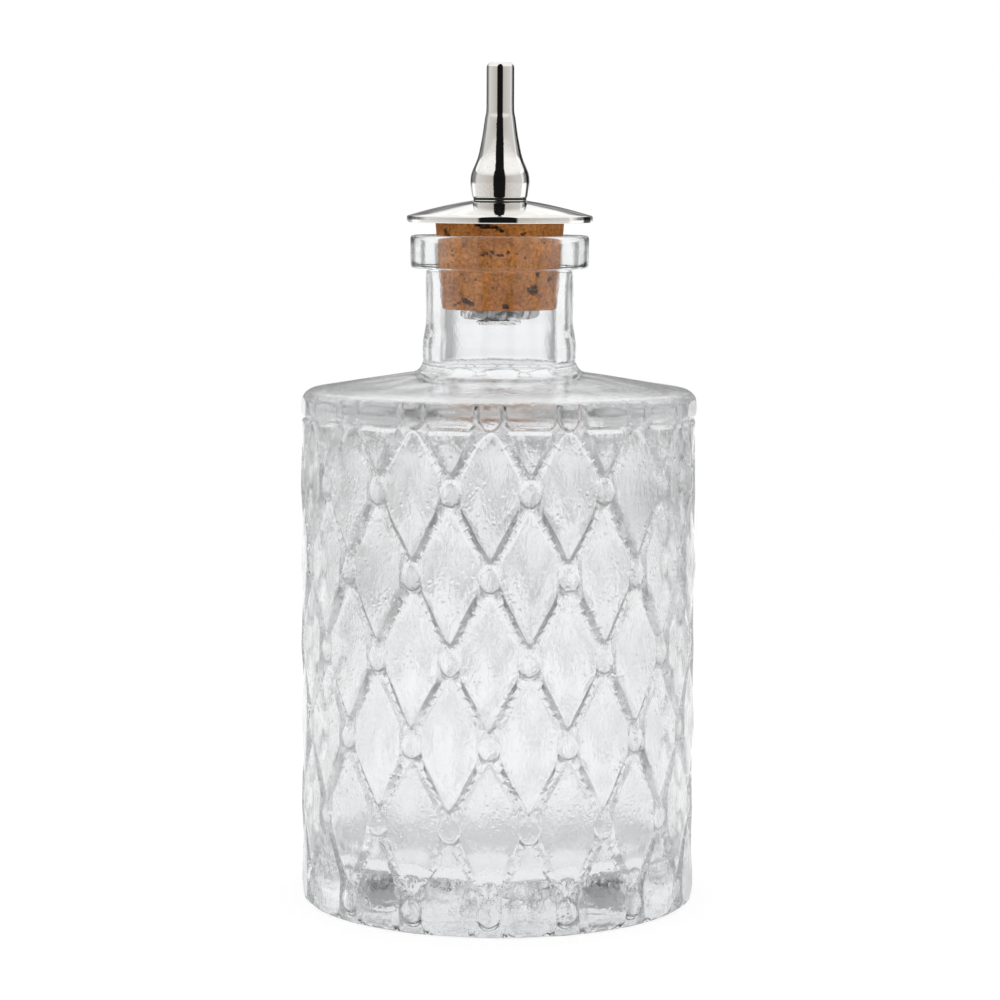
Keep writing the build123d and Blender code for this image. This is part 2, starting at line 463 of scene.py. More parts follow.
def oval_radius(x, z, middle, between):
    """The oval's dome, or nothing beyond its foot."""
    out = tile_width - x if between else x
    share = math.hypot(out / oval_half_width, (z - middle) / oval_height)
    down = (share - 1) * oval_half_width / oval_slope
    dome = cell_face + oval_rise - oval_fall * min(share, 1) ** 2
    return channel_floor + (dome - channel_floor) * (1 - eased(down))


def wall_radius(x, z):
    """Distance of the wall's surface from the axis at a point of the tile."""
    radius = channel_floor
    for shape in [*cells, bar]:
        share = shape.fall(x, z)
        if share < 1 + rounding_share:
            place = shape.local(x, z)
            face = flat_face(place[0]) if shape is bar else cell_radius(*place)
            radius = max(radius, channel_floor + (face - channel_floor) * (1 - eased(share)))
    for middle, between in ovals:
        if abs(z - middle) < oval_height + 1:
            radius = max(radius, oval_radius(x, z, middle, between))
    return radius


# %% Nicks along the slopes, as the cutter left them
nick_step = 1.75
nick_length = 1.0
nick_half_width = 0.2
nick_depth = 0.36
# a nick climbs from the slope's foot to its full height over this length, then runs out
nick_climb = 0.3
# nicks under a cell's point: distance aside, drop below the foot of its sides, and length
point_nicks = [(0.22, 1.4, 1.4), (0.85, 0.9, 1.3), (1.5, 0.0, 1.0)]
nicks = []


def add_nick(shape, x, z, across, up, length):
    """A nick that starts at a point about the shape's middle and runs outwards."""
    size = math.hypot(across, up)
    x, z = shape.place(x, z + shape.height)
    across = -across / size if shape.between else across / size
    nicks.append((x, z, across, up / size, length))


noise.seed_set(3)
for cell in cells:
    start, end = cell.corners[1:3]
    across, up, length = outward(start, end)
    count = int(length / nick_step)
    for number in range(count + 1):
        x, z = part_way(start, end, (number + 0.5) / (count + 1))
        longer = nick_length * (0.75 + 0.5 * noise.random())
        add_nick(cell, x + across * point_slope, z + up * point_slope, across, up - 0.25, longer)
    for x, drop, length in point_nicks:
        add_nick(cell, x, start[1] - drop, 0.3 * x, -1, length)
print(len(nicks), "nicks in the tile")


def nick_rise(x, z):
    """What the nicks add to the wall at a point of the tile."""
    rise = 0
    for x0, z0, across, up, length in nicks:
        along = (x - x0) * across + (z - z0) * up
        aside = abs((x - x0) * up - (z - z0) * across)
        if -nick_climb < along < length and aside < nick_half_width:
            share = min((along + nick_climb) / nick_climb, 1 - along / length, 1)
            rise = max(rise, nick_depth * share * (1 - aside / nick_half_width))
    return rise


# %% Draw the tile: edges along every shape, a coarse grid between them
longest_edge = 1.5
grid_across = 6
grid_step = 1.35
border_divisions = 4
# the pattern's lines stop this far from the tile's lower and upper end
low_margin = 0.1
high_margin = 0.08
# outlines of an oval, this far outside its edge
oval_spreads = (-1.1, -0.5, -0.05, 0.1, oval_slope - 0.07, oval_slope + 0.07)
# rows of points on the heel and on the shoulder's corner, and shares of the way down a slope
# between which the shape's own outlines are enough
heel_rows = [0.14, 0.35, 0.7, 1.2]
corner_rows = [86.0, 86.4, 86.75, 87.05, 87.3]
slope_reach = (-0.9, 1.5)


def divided(points, step):
    """The same line with no stretch longer than a step."""
    line = [points[0]]
    for start, end in zip(points, points[1:]):
        count = max(1, math.ceil(math.dist(start, end) / step))
        line += [part_way(start, end, number / count) for number in range(1, count + 1)]
    return line


def clipped(points, low, high):
    """The stretches of a line between two heights."""
    for first, last in zip(points, points[1:]):
        z0, z1 = first[1], last[1]
        shares = [0, 1]
        for level in (low, high):
            if (z0 - level) * (z1 - level) < 0:
                shares.append((level - z0) / (z1 - z0))
        shares.sort()
        for start, end in zip(shares, shares[1:]):
            middle = z0 + (z1 - z0) * (start + end) / 2
            if low < middle < high:
                yield [part_way(first, last, share) for share in (start, end)]


def oval_ring(middle, between, spread):
    points = []
    for number in range(9):
        angle = math.pi * (number / 8 - 0.5)
        x = (oval_half_width + spread) * math.cos(angle)
        z = middle + (oval_height + spread) * math.sin(angle)
        points.append((tile_width - max(x, 0) if between else max(x, 0), z))
    return points


class Drawing:
    """Points and edges of the tile, each point once."""

    def __init__(self):
        self.points = []
        self.found = {}
        self.edges = set()

    def point(self, x, z):
        for side in (0, tile_width):
            x = side if abs(x - side) < 0.02 else x
        key = (round(x, 3), round(z, 3))
        if key not in self.found:
            self.found[key] = len(self.points)
            self.points.append(Vector((x, z)))
        return self.found[key]

    def line(self, points):
        numbers = [self.point(*place) for place in points]
        self.edges.update((a, b) for a, b in zip(numbers, numbers[1:]) if a != b)


def draw_tile():
    drawing = Drawing()
    across = [tile_width * k / border_divisions for k in range(border_divisions + 1)]
    for level in (tile_bottom, tile_top):
        drawing.line([(x, level) for x in across])
    low, high = tile_bottom + low_margin, tile_top - high_margin
    r = rounding_share
    for shape in [*cells, bar]:
        for share in (-r, r, 1 - r, 1 + r):
            for stretch in clipped(divided(shape.ring(share), longest_edge), low, high):
                drawing.line(stretch)
    for cell in cells:
        crease = [(cell_half_width - 0.3, crease_foot + 0.1), (0, crease_top)]
        crease = [cell.place(x, z + cell.height) for x, z in crease]
        for stretch in clipped(divided(crease, longest_edge), low, min(high, cells_top - 0.5)):
            drawing.line(stretch)
    for middle, between in ovals:
        for spread in oval_spreads:
            for stretch in clipped(oval_ring(middle, between, spread), low, high):
                drawing.line(stretch)
    for x, z, across_share, up, length in nicks:
        outline = ((-nick_climb, 0), (0, 1), (length, 1), (length, -1), (0, -1), (-nick_climb, 0))
        crest = ((-nick_climb, 0), (0, 0), (length, 0))
        for line in (outline, crest):
            places = [
                (x + across_share * along + up * aside * nick_half_width,
                 z + up * along - across_share * aside * nick_half_width)
                for along, aside in line
            ]
            if all(0.05 < px < tile_width - 0.05 and low < pz < high for px, pz in places):
                drawing.line(places)
    count = round((corner_middle - heel_rows[-1]) / grid_step)
    step = (corner_middle - heel_rows[-1]) / count
    wall_rows = [heel_rows[-1] + step * (number + 1) for number in range(count)]
    for z in heel_rows + wall_rows + corner_rows:
        for number in range(grid_across + 1):
            x = tile_width * number / grid_across
            shares = [shape.fall(x, z) for shape in [*cells, bar]]
            if not any(slope_reach[0] < share < slope_reach[1] for share in shares):
                drawing.point(x, z)
    for side in (0, tile_width):
        heights = sorted(point.y for point in drawing.points if point.x == Vector((side, 0)).x)
        drawing.line([(side, z) for z in heights])
    return drawing


drawing = draw_tile()
flat_points, _, flat_faces, _, _, _ = geometry.delaunay_2d_cdt(
    drawing.points, sorted(drawing.edges), [], 0, 0.0005)
print(f"tile: {len(flat_points)} points and {len(flat_faces)} triangles")


# %% Wrap the tile round the wall, mirror it and copy it round
# points closer than this are merged, and the tile is plainly round this close to its ends
merge_distance = 0.002 * mm
round_end = 0.01


def select_only(*pieces):
    """Select these pieces and make the last of them the active one."""
    bpy.ops.object.select_all(action="DESELECT")
    for piece in pieces:
        piece.select_set(True)
    bpy.context.view_layer.objects.active = pieces[-1]


def new_piece(name, points, faces=(), edges=()):
    """A mesh object from points in millimetres."""
    mesh = bpy.data.meshes.new(name)
    mesh.from_pydata([Vector(point) * mm for point in points], edges, faces)
    piece = bpy.data.objects.new(name, mesh)
    bpy.context.collection.objects.link(piece)
    select_only(piece)
    return piece


def spin_round(steps, angle, copies=False):
    """Spin the active mesh, or copies of it, about the axis and merge what meets."""
    bpy.ops.object.mode_set(mode="EDIT")
    bpy.ops.mesh.select_all(action="SELECT")
    bpy.ops.mesh.spin(steps=steps, dupli=copies, angle=angle, center=(0, 0, 0), axis=(0, 0, 1))
    bpy.ops.mesh.select_all(action="SELECT")
    bpy.ops.mesh.remove_doubles(threshold=merge_distance)


def wrapped(x, z):
    radius = profile_radius(z)
    # round ends meet the plain glass all the way round
    if tile_bottom + round_end < z < tile_top - round_end:
        radius = min(radius, wall_radius(x, z) + nick_rise(x, z))
    angle = x / cell_face
    return radius * math.sin(angle), -radius * math.cos(angle), z


glass = new_piece("glass", [wrapped(*point) for point in flat_points], flat_faces)
mirror = glass.modifiers.new("other half of the column", "MIRROR")
mirror.merge_threshold = merge_distance
bpy.ops.object.modifier_apply(modifier=mirror.name)
spin_round(columns - 1, 2 * math.pi * (columns - 1) / columns, copies=True)
bpy.ops.object.mode_set(mode="OBJECT")
print(f"patterned wall: {len(glass.data.polygons)} faces")

# %% [markdown]
# The rest of the glass is round, so it is one line, spun about the axis: up over the shoulder
# and the neck, round the collar, down the bore, and over the inside to the middle of the base.
# A second line closes the underside. The number of steps is the same as on the tile's edge.

# %% Sizes of the plain glass
shoulder_edge = 87.75
shoulder_rise = 3.35
shoulder_foot_radius = 13.25
shoulder_top = 91.1
neck_radius = 12.7
collar_bottom = 108.55
collar_radius = 15.3
mouth_height = 114.25
mouth_radius = 10.891
throat_radius = 9.975
cork_bottom = 101.70
cavity_radius = 30.0
base_thickness = 8.0
foot_inner_radius = 29.0
punt_depth = 1.0
wall_under_shoulder = 3.5
ring_step = 2.2
# a rounded corner has a point every so many degrees, and a small one has fewer
arc_step = 12
small_arc_step = 23
small_arc_radius = 1


def shoulder_height(radius):
    share = (body_radius - radius) / (body_radius - shoulder_foot_radius)
    return shoulder_edge + share * shoulder_rise


def rounded(corners):
    """A line through (distance, height, rounding) corners, with an arc at each rounding."""
    line = []
    for number, (x, z, radius) in enumerate(corners):
        if not radius:
            line.append((x, z))
            continue
        here = Vector((x, z))
        back = (Vector(corners[number - 1][:2]) - here).normalized()
        ahead = (Vector(corners[number + 1][:2]) - here).normalized()
        half = back.angle(ahead) / 2
        middle = here + (back + ahead).normalized() * radius / math.sin(half)
        start = here + back * radius / math.tan(half) - middle
        turn = math.pi - 2 * half
        side = 1 if back.x * ahead.y - back.y * ahead.x < 0 else -1
        step_turn = arc_step if radius > small_arc_radius else small_arc_step
        steps = max(2, math.ceil(math.degrees(turn) / step_turn))
        for step in range(steps + 1):
            angle = side * turn * step / steps
            x = start.x * math.cos(angle) - start.y * math.sin(angle)
            z = start.x * math.sin(angle) + start.y * math.cos(angle)
            line.append((middle.x + x, middle.y + z))
    return line


def corner_arc():
    """The rest of the shoulder's corner, over the top of the tile."""
    lean = math.atan2(shoulder_rise, body_radius - shoulder_foot_radius)
    start = math.asin((tile_top - corner_middle) / corner_radius)
    end = math.pi / 2 - lean
    centre = body_radius - corner_radius
    angles = [start + (end - start) * step / 4 for step in range(5)]
    return [
        (centre + corner_radius * math.cos(a), corner_middle + corner_radius * math.sin(a))
        for a in angles
    ]


def spun(name, line, step, closed=False):
    """A line spun all the way round the axis. A closed line makes a solid ring."""
    points = [(0, -x, z) for x, z in divided(line, step)]
    edges = [(number, number + 1) for number in range(len(points) - 1)]
    piece = new_piece(name, points, edges=edges)
    spin_round(2 * columns * border_divisions, 2 * math.pi)
    if closed:
        bpy.ops.mesh.normals_make_consistent(inside=False)
    bpy.ops.object.mode_set(mode="OBJECT")
    return piece


# %% Spin the shoulder, neck, collar and inside, and the underside
above = corner_arc() + rounded([
    (body_radius, shoulder_height(body_radius), 0),
    (shoulder_foot_radius, shoulder_top, 2.0),
    (shoulder_foot_radius, 95.64, 8.0),
    (neck_radius, 98.78, 8.0),
    (neck_radius, collar_bottom, 0.5),
    (collar_radius, collar_bottom, 0.6),
    (collar_radius, mouth_height, 0.6),
    (mouth_radius, mouth_height, 0.4),
    (throat_radius, cork_bottom, 0),
    (throat_radius, shoulder_height(throat_radius) - wall_under_shoulder, 3.0),
    (cavity_radius, shoulder_height(cavity_radius) - wall_under_shoulder, 5.0),
    (cavity_radius, base_thickness, 6.0),
    (0, base_thickness, 0),
])[1:]
punt_ball = (foot_inner_radius ** 2 + punt_depth ** 2) / (2 * punt_depth)
punt = [
    (x, math.sqrt(punt_ball ** 2 - x ** 2) - punt_ball + punt_depth)
    for x in (foot_inner_radius * (1 - step / 10) for step in range(11))
]
heel_edge = [
    (profile_radius(tile_bottom), tile_bottom),
    (body_radius - heel_radius + 0.15, 0.01),
    (body_radius - heel_radius, 0),
]
plain = spun("plain_glass", above, ring_step)
under = spun("underside", heel_edge + punt, 0.5 * ring_step)

select_only(plain, under, glass)
bpy.ops.object.join()
bpy.ops.object.mode_set(mode="EDIT")
bpy.ops.mesh.select_all(action="SELECT")
bpy.ops.mesh.remove_doubles(threshold=1.5 * merge_distance)
bpy.ops.mesh.normals_make_consistent(inside=False)
bpy.ops.mesh.select_all(action="DESELECT")
bpy.ops.mesh.select_non_manifold()
bpy.ops.object.mode_set(mode="OBJECT")
open_edges = sum(edge.select for edge in glass.data.edges)
print(f"glass: {len(glass.data.polygons)} faces, {open_edges} open edges")


# %% Unevenness of blown glass
def waviness(point, scale, seed):
    """Smooth noise from -1 to 1 at a size in millimetres."""
    return noise.noise(point / (scale * mm) + Vector((seed, 2 * seed, 3 * seed)))


wander_size = 0.22
# the pattern strays between these heights, and less and less near them
wander_low = 1.3
wander_high = 87
wander_fade = 3


def is_inside(radius, z):
    """Whether a point of the glass is on the wall of the cavity or the throat."""
    if z < base_thickness / 2:
        return False
    return radius < throat_radius + 0.3 or (
        radius < cavity_radius + 1 and z < shoulder_height(radius) - 1.7)


def uneven(vertex):
    """How far a point of the glass moves along its normal, in millimetres."""
    point = vertex.co
    radius = math.hypot(point.x, point.y) / mm
    z = point.z / mm
    if is_inside(radius, z):
        if z > cork_bottom - 1:
            return 0
        fade = min(1, (cork_bottom - 1 - z) / 20)
        flat = Vector((point.x, point.y, point.z / 2.5))
        slow = 0.35 * waviness(point, 16, 1) + 0.14 * waviness(flat, 4, 2)
        return fade * slow
    if radius < foot_inner_radius - 0.5 and z < 2 * punt_depth:
        # the underside keeps the ripples of the cold plate that it was pressed on
        return -0.08 * (1.2 + waviness(point, 3.2, 10) + 0.4 * waviness(point, 1.4, 11))
    flat = Vector((point.x, point.y, point.z / 2))
    slow = waviness(point, 7, 3) + 0.6 * waviness(flat, 2.4, 4)
    return -0.04 * (1.4 - slow)


def wander(vertex):
    """The cutter's hand: lines of the pattern stray a little to the side, up and down."""
    point = vertex.co
    radius = math.hypot(point.x, point.y)
    z = point.z / mm
    if radius < (body_radius - 1.6) * mm or z < wander_low or z > wander_high:
        return Vector()
    fade = min(1, (z - wander_low) / wander_fade, (wander_high - z) / wander_fade)
    aside = Vector((-point.y, point.x, 0)) / radius
    across = waviness(point, 3.5, 5) + 0.5 * waviness(point, 1.3, 6)
    up = waviness(point, 4, 7) + 0.5 * waviness(point, 1.5, 8)
    return (aside * across + Vector((0, 0, up))) * wander_size * fade


shifts = [uneven(vertex) for vertex in glass.data.vertices]
normals = [vertex.normal.copy() for vertex in glass.data.vertices]
strays = [wander(vertex) for vertex in glass.data.vertices]
for vertex, shift, normal, stray in zip(glass.data.vertices, shifts, normals, strays):
    vertex.co += (normal * shift + stray) * mm
# the foot is put back on the ground, and the wall follows it over the lowest few millimetres
foot_reach = 3 * mm
lowest = min(vertex.co.z for vertex in glass.data.vertices)
for vertex in glass.data.vertices:
    vertex.co.z -= lowest * max(0, 1 - vertex.co.z / foot_reach)
select_only(glass)
bpy.ops.object.shade_smooth_by_angle(angle=math.radians(40))
print("glass moved by", round(min(shifts), 3), "to", round(max(shifts), 3), "mm")


# %% Clear glass
def principled(name, **values):
    """A material whose Principled shader has these plain values."""
    material = bpy.data.materials.new(name)
    material.use_nodes = True
    shader = material.node_tree.nodes["Principled BSDF"]
    for key, value in values.items():
        shader.inputs[key.replace("_", " ")].default_value = value
    return material, material.node_tree, shader


def make_clear_glass():
    material, tree, shader = principled(
        "clear glass", Base_Color=(0.965, 0.97, 0.975, 1), IOR=1.5, Transmission_Weight=1.0)
    place = own_place(tree)
    split = add_node(tree, "ShaderNodeSeparateXYZ", {0: place})
    flat = add_node(tree, "ShaderNodeCombineXYZ", {0: split.outputs[0], 1: split.outputs[1]})
    radius = add_node(
        tree, "ShaderNodeVectorMath", {0: flat.outputs[0]}, operation="LENGTH").outputs["Value"]
    # the mould polishes the outside, while the wall of the cavity stays a little rough
    inside = math_node(tree, "LESS_THAN", radius, (cavity_radius + 0.8) * mm)
    for side, level in (("GREATER_THAN", base_thickness + 3), ("LESS_THAN", tile_top - 1.5)):
        inside = math_node(
            tree, "MULTIPLY", inside, math_node(tree, side, split.outputs[2], level * mm))
    skin = math_node(tree, "MULTIPLY_ADD", inside, 0.20, 0.01)
    tree.links.new(skin, shader.inputs["Roughness"])
    # fine streaks down the wall, and small pits that come in swarms
    streak_place = add_node(tree, "ShaderNodeVectorMath", {
        0: place, 1: (1, 1, 0.55)}, operation="MULTIPLY").outputs[0]
    streaks = noise_node(tree, streak_place, 600.0, 3.0, Distortion=2.0)
    spots = ramp_node(tree, spot_node(tree, place, 900.0), [(0.0, 1.0), (0.34, 0.0)])
    swarm = ramp_node(tree, noise_node(tree, place, 160.0, 2.0), [(0.49, 0.0), (0.60, 1.0)])
    pits = math_node(tree, "MULTIPLY", spots, swarm)
    # the neck and collar are plain, so the streaks are weaker there and no pits show
    wall = range_node(tree, radius, 20 * mm, 31 * mm, 0.0, 1.0)
    streaks = math_node(tree, "MULTIPLY", streaks, math_node(
        tree, "MULTIPLY_ADD", wall, 0.40, 0.12))
    surface = math_node(tree, "MULTIPLY_ADD", math_node(tree, "MULTIPLY", pits, wall), -0.6,
                        streaks)
    set_bump(tree, shader, surface, 0.12 * mm)
    path = add_node(tree, "ShaderNodeLightPath")
    clear = add_node(tree, "ShaderNodeBsdfTransparent", {"Color": (0.93, 0.93, 0.93, 1)})
    mix = add_node(tree, "ShaderNodeMixShader", {
        0: path.outputs["Is Shadow Ray"], 1: shader.outputs[0], 2: clear.outputs[0]})
    depth = add_node(tree, "ShaderNodeVolumeAbsorption", {
        "Color": (0.48, 0.50, 0.52, 1), "Density": 7.0})
    tree.links.new(mix.outputs[0], tree.nodes["Material Output"].inputs["Surface"])
    tree.links.new(depth.outputs[0], tree.nodes["Material Output"].inputs["Volume"])
    return material


def dress(piece, material):
    """Give a piece this material in place of any other."""
    piece.data.materials.clear()
    piece.data.materials.append(material)


dress(glass, make_clear_glass())
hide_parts("bottle")
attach(glass, "bottle")

# %% [markdown]
# ## The cork
# Natural cork is cut from bark, so its side has a fine grain of cells, and dark pits where the
# bark's pores ran through it. The pits are real hollows, so they are pressed into the mesh. A
# vertex attribute remembers how deep each point lies, and the material darkens the pits by it.

# %% Cork: a cone with a hole for the tube
cork_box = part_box("cork")
cork_top = cork_box[1].z / mm
cork_length = cork_top - cork_bottom
cork_top_radius = 11.0
cork_bottom_radius = 9.925
stem_hole_radius = 4.05
cork_rings = 46
cork_sides = 224


def pick(piece, kind, chosen):
    """In edit mode, select the faces or edges that a rule picks, and nothing else."""
    bpy.ops.mesh.select_mode(type="FACE" if kind == "faces" else "EDGE")
    bpy.ops.mesh.select_all(action="DESELECT")
    work = bmesh.from_edit_mesh(piece.data)
    for part in getattr(work, kind):
        part.select_set(bool(chosen(part)))
    bmesh.update_edit_mesh(piece.data)


def tube_cone(name, low_radius, high_radius, low, high, hole, sides):
    """A cone stump that stands on the axis, with a straight hole through it."""
    bpy.ops.object.select_all(action="DESELECT")
    bpy.ops.mesh.primitive_cone_add(
        vertices=sides, radius1=low_radius * mm, radius2=high_radius * mm,
        depth=(high - low) * mm, end_fill_type="NGON", location=(0, 0, (low + high) / 2 * mm))
    piece = bpy.context.object
    piece.name = name
    bpy.ops.object.transform_apply(location=True, rotation=True, scale=True)
    bpy.ops.object.mode_set(mode="EDIT")
    for level, radius in ((low, low_radius), (high, high_radius)):
        pick(piece, "faces", lambda face: len(face.verts) > 4
             and abs(face.calc_center_median().z - level * mm) < 0.01 * mm)
        bpy.ops.mesh.inset(thickness=(radius - hole) * mm * math.cos(math.pi / sides))
    pick(piece, "faces", lambda face: len(face.verts) > 4)
    bpy.ops.mesh.bridge_edge_loops()
    bpy.ops.object.mode_set(mode="OBJECT")
    return piece


cork = tube_cone(
    "cork_stopper", cork_bottom_radius, cork_top_radius, cork_bottom, cork_top,
    stem_hole_radius, cork_sides)
bpy.ops.object.mode_set(mode="EDIT")
pick(cork, "edges", lambda edge: abs(edge.verts[0].co.z - edge.verts[1].co.z) > mm
     and edge.verts[0].co.xy.length > 6 * mm)
bpy.ops.mesh.subdivide(number_cuts=cork_rings)
bpy.ops.object.mode_set(mode="OBJECT")
print(f"cork: {len(cork.data.polygons)} faces")

# %% Press the pits into the cork
# Each pit: turn from the front in degrees, height, half width, half height, depth and tilt
front_pits = [
    (-55, 114.9, 0.6, 0.45, 0.5, 60), (-52, 114.2, 0.4, 0.3, 0.4, 0),
    (-10, 115.9, 1.9, 0.30, 0.9, -6), (2, 115.3, 0.7, 0.22, 0.6, -30),
    (24, 114.6, 0.5, 0.18, 0.4, 15), (38, 108.0, 0.35, 0.45, 0.7, 10),
    (51, 107.0, 0.3, 0.65, 0.7, -35), (34, 105.2, 0.9, 0.85, 0.6, 0),
    (29, 105.3, 0.3, 0.5, 0.8, 25), (-28, 103.2, 1.1, 0.30, 0.8, -22),
    (-40, 102.7, 0.8, 0.16, 0.4, 20), (8, 102.5, 0.5, 0.3, 0.7, 20),
    # the four shallow pits near 111 mm lie in a row across the front and make a thin dark band
    # there
    (-62, 107.5, 0.25, 0.6, 0.5, 10), (-11, 111.2, 0.6, 0.2, 0.4, 8),
    (-4, 111.6, 0.5, 0.25, 0.4, -15), (3, 111.1, 0.7, 0.22, 0.4, 5), (9, 111.5, 0.3, 0.2, 0.4, 0),
    (63, 102.4, 0.5, 0.4, 0.5, 0),
]
noise.seed_set(7)
pits = list(front_pits)
pit_count = 44
while len(pits) < pit_count:
    turn = 75 + 210 * noise.random()
    height = cork_bottom + 0.5 + (cork_length - 1.2) * noise.random()
    wide = 0.2 + 0.9 * noise.random() ** 2
    tall = 0.15 + 0.5 * noise.random() ** 2
    pits.append((turn, height, wide, tall, 0.4 + 0.4 * noise.random(), 90 * noise.random() - 45))


def pit_depth(turn, z):
    """Depth in millimetres of the deepest pit at a point of the cork's side."""
    depth = 0
    for middle, height, wide, tall, deepest, tilt in pits:
        aside = math.radians((turn - middle + 180) % 360 - 180) * cork_top_radius
        up = z - height
        if abs(aside) > 4 or abs(up) > 2.5:
            continue
        lean = math.radians(tilt)
        x = (aside * math.cos(lean) + up * math.sin(lean)) / wide
        y = (up * math.cos(lean) - aside * math.sin(lean)) / tall
        share = math.hypot(x, y) + 0.4 * noise.noise(Vector((turn / 3, z * 2.2, middle)))
        share += 0.35 * noise.noise(Vector((turn / 1.2, z * 5, middle)))
        depth = max(depth, deepest * min(1, max(0, (1.1 - share) * 3)))
    return depth


depths = []
for vertex in cork.data.vertices:
    x, y, z = vertex.co / mm
    radius = math.hypot(x, y)
    side = cork_bottom_radius + (z - cork_bottom) / cork_length * (
        cork_top_radius - cork_bottom_radius)
    turn = math.degrees(math.atan2(x, -y)) % 360
    depth = 0
    if radius > side - 0.1:
        depth = pit_depth(turn, z)
        grain = 0.03 * (1 + waviness(vertex.co, 0.7, 9))
        edge = 0.35 * max(0, 1 - (z - cork_bottom) / 0.4) ** 2
        vertex.co.xy *= 1 - (depth + grain + edge) / radius
    depths.append(depth)
layer = cork.data.attributes.new("pit_depth", "FLOAT", "POINT")
layer.data.foreach_set("value", depths)
bpy.ops.object.shade_smooth_by_angle(angle=math.radians(50))
print(len(pits), "pits, the deepest", round(max(depths), 2), "mm")


# %% Cork bark
def make_cork_bark():
    material, tree, shader = principled(
        "cork bark", Roughness=0.85, Specular_IOR_Level=0.3)
    place = own_place(tree)
    grain = noise_node(tree, place, 1500.0, 6.0, Roughness=0.7)
    warm = ramp_node(tree, noise_node(tree, place, 260.0, 3.0), [
        (0.30, (0.38, 0.125, 0.024)), (0.50, (0.53, 0.195, 0.040)), (0.72, (0.67, 0.265, 0.064)),
    ])
    speckle = ramp_node(tree, grain, [(0.30, 0.35), (0.50, 0.95), (0.70, 1.35)])
    pale = ramp_node(tree, spot_node(tree, place, 2600.0), [(0.0, 1.12), (0.6, 0.9)])
    base = times(tree, times(tree, warm, speckle), pale)
    # dark dots, in some places only
    dots = ramp_node(tree, spot_node(tree, place, 900.0), [(0.17, 1.0), (0.27, 0.0)])
    few = ramp_node(tree, noise_node(tree, place, 400.0, 2.0), [(0.50, 0.0), (0.58, 0.8)])
    base = mix_node(tree, math_node(tree, "MULTIPLY", dots, few), base, (0.10, 0.04, 0.015, 1))
    depth = add_node(tree, "ShaderNodeAttribute", attribute_name="pit_depth").outputs["Fac"]
    rough_depth = math_node(tree, "MULTIPLY_ADD", grain, 0.5, math_node(
        tree, "MULTIPLY", depth, 2.4))
    pit_share = ramp_node(tree, rough_depth, [(0.35, 0.0), (0.62, 1.0)])
    # crumbs of bark are left in the pits
    pit_share = math_node(tree, "MULTIPLY", pit_share, ramp_node(
        tree, grain, [(0.46, 1.0), (0.62, 0.35)]))
    base = mix_node(tree, pit_share, base, (0.050, 0.020, 0.010, 1))
    # painted light: below the mouth, where it is seen through the glass, the cork is painted 1.4
    # times lighter to make up for light that the glass holds back, and the rim that stands out of
    # the mouth is a little darker, as painted shade under the disc
    height = add_node(tree, "ShaderNodeSeparateXYZ", {0: place}).outputs[2]
    painted_light_by_height = range_node(tree, height, (mouth_height - 0.6) * mm, mouth_height * mm, 1.40, 0.95)
    tree.links.new(times(tree, base, painted_light_by_height), shader.inputs["Base Color"])
    set_bump(tree, shader, grain, 0.15 * mm, 0.5)
    return material


dress(cork, make_cork_bark())
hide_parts("cork")
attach(cork, "stopper")

# %% [markdown]
# ## The threaded tube
# One tube carries the whole stopper: its head sits on the disc, the nut clamps the cork from
# below, and the spout screws onto its upper end. It is a closed profile, spun about the axis.
# A thread is a groove whose depth depends on height and turn together: where the two grow in
# step, the groove climbs by one pitch a turn.

# %% Spin the tube
stem_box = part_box("stem")
stem_bottom = stem_box[0].z / mm
stem_top = stem_box[1].z / mm
stem_radius = 4.0
stem_bore_radius = 2.0
spigot_radius = 3.2
stem_chamfer = 0.4
head_length = 1.0
head_waist_radius = 4.3
head_rim_radius = 4.7
# the seal lies between the head and the spout, round the spigot's foot
head_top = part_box("spout_seal")[0].z / mm
head_bottom = head_top - head_length
shaft_pitch = 1.25
spigot_pitch = 0.8
shaft_groove = 0.45
spigot_groove = 0.32
# the spigot's thread stops this far from its foot and its top
thread_margin = 0.2
thread_top = cork_bottom + 1.5


def groove_line(radius, low, high, pitch):
    """The stretch of the profile that a thread is cut into, with points close together."""
    return divided([(radius, low), (radius, high)], pitch / 7)


tube_line = [(stem_bore_radius, stem_bottom), (stem_radius - stem_chamfer, stem_bottom)]
tube_line += groove_line(stem_radius, stem_bottom + stem_chamfer, thread_top, shaft_pitch)
tube_line += rounded([
    (stem_radius, head_bottom - 1, 0),
    (stem_radius, head_bottom, 0),
    (head_waist_radius, head_bottom, 0.1),
    (head_rim_radius, head_top, 0.2),
    (spigot_radius, head_top, 0),
])[1:-1]
tube_line += groove_line(spigot_radius, head_top, stem_top - stem_chamfer, spigot_pitch)
tube_line += [
    (spigot_radius - stem_chamfer, stem_top),
    (stem_bore_radius, stem_top),
    (stem_bore_radius, stem_bottom),
]
tube = spun("threaded_tube", tube_line, 2 * (stem_top - stem_bottom), closed=True)


# %% Cut the threads
def groove(point, pitch, depth, low, high):
    """How deep a thread is cut at a point, in millimetres: it runs out at both ends."""
    z = point.z / mm
    turn = math.atan2(point.y, point.x) / (2 * math.pi)
    phase = (z / pitch - turn) % 1
    cut = min(1, max(0, 1.2 - 2.4 * abs(phase - 0.5)))
    ends = min(1, max(0, z - low) / (pitch / 2), max(0, high - z) / (pitch / 2))
    return depth * cut * ends


